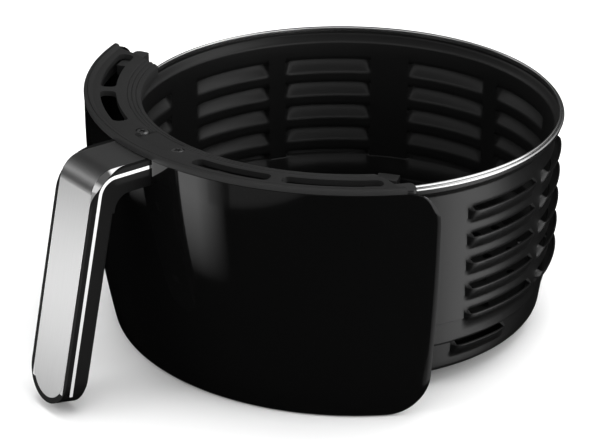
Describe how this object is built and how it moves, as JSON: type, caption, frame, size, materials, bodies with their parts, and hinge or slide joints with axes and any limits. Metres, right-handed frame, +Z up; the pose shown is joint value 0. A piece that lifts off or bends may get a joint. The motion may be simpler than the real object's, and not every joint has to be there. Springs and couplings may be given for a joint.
{
  "type": "air fryer basket drawer",
  "caption": "Round louvred non-stick basket drawer of an air fryer, with a gloss front cover, vented top flange, metal-faced handle and a lift-out crisper plate.",
  "frame": {"origin": "pan axis on the surface that the drawer stands on", "axes": "+Z up along the pan axis, the handle and front cover point along -Y, +X to the right for someone who looks along +Y at the handle"},
  "size_m": [0.2378, 0.2798, 0.1175],
  "materials": {
    "nonstick_pan": "satin black non-stick coating on pressed steel",
    "bright_rim": "bare bright metal",
    "nonstick_plate": "satin black non-stick coating",
    "silicone": "matte black silicone",
    "cover_gloss": "deep black high gloss",
    "shield_steel": "mill-finish aluminised sheet",
    "bracket_steel": "zinc-plated pressed steel",
    "fastener_steel": "zinc-plated screws",
    "fastener_black": "black-oxide cross-head screws",
    "rivet_alloy": "plain rivets",
    "flange_plastic": "dark grey moulded, fine satin texture",
    "lug_plastic": "black moulded",
    "handle_plastic": "black moulded, low gloss",
    "grip_plastic": "black moulded, fine texture",
    "trim_chrome": "polished chrome plate",
    "face_aluminium": "fine brushed along the grip",
    "tape": "foam tape"
  },
  "bodies": {
    "drawer": {"basket_pan": "nonstick_pan", "rim_ring": "bright_rim", "front_cover": "cover_gloss", "heat_shield": "shield_steel", "shield_screws": "fastener_steel", "strap_left": "bracket_steel", "strap_right": "bracket_steel", "strap_screws": "fastener_steel", "strap_rivets": "rivet_alloy", "pan_bracket": "bracket_steel", "bracket_rivets": "rivet_alloy", "top_flange": "flange_plastic", "flange_screws": "fastener_black", "flange_nuts": "fastener_steel", "side_lug_left": "lug_plastic", "side_lug_right": "lug_plastic", "handle_shell": "handle_plastic", "grip_back": "grip_plastic", "grip_screws": "fastener_black", "handle_trim": "trim_chrome", "handle_face": "face_aluminium", "face_tape": "tape", "handle_tang": "bracket_steel", "handle_screw": "fastener_steel"},
    "crisper": {"crisper_plate": "nonstick_plate", "crisper_bumpers": "silicone"}
  },
  "joints": [
    {"name": "crisper_lift", "type": "slide", "parent": "drawer", "child": "crisper", "axis": [0, 0, 1], "range_m": [0, 0.116]}
  ]
}
